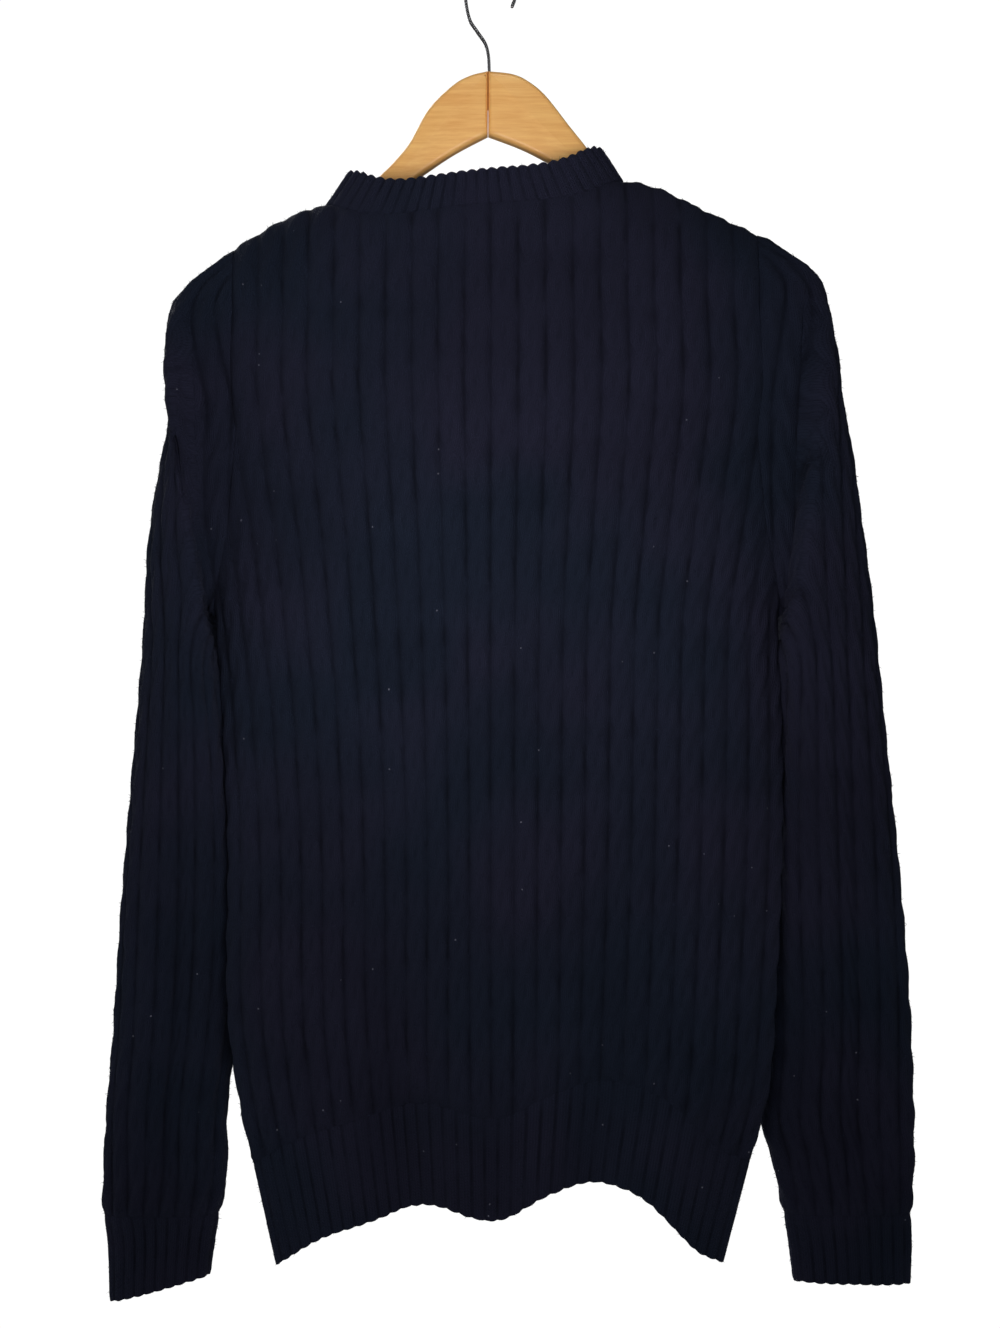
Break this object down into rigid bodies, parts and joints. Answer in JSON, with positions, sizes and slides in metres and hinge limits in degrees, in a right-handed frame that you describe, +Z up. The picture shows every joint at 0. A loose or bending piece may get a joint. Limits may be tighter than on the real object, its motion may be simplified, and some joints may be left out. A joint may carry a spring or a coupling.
{
  "type": "cable knit sweater on a wooden hanger",
  "caption": "Fine cable knit crew neck sweater with ribbed neckband, hem and cuffs, hanging on a contoured wooden hanger with a wire hook.",
  "frame": {"origin": "inside of the hook's top, where a rail carries the hanger", "axes": "+Z up, +Y the garment's back, +X the garment's left side"},
  "size_m": [0.533, 0.1087, 0.8705],
  "materials": {
    "cable_knit": "matte navy wool knitted in narrow cables",
    "rib_knit": "matte navy wool knitted in two by two rib",
    "wood": "satin lacquered honey beech",
    "wire": "plain drawn steel wire"
  },
  "bodies": {
    "root": {"back": "cable_knit", "front": "cable_knit", "sleeve_left": "cable_knit", "sleeve_right": "cable_knit", "neckband": "rib_knit", "hem_back": "rib_knit", "hem_front": "rib_knit", "cuff_left": "rib_knit", "cuff_right": "rib_knit", "hanger_left": "wood", "hanger_right": "wood", "hook": "wire"}
  },
  "joints": []
}
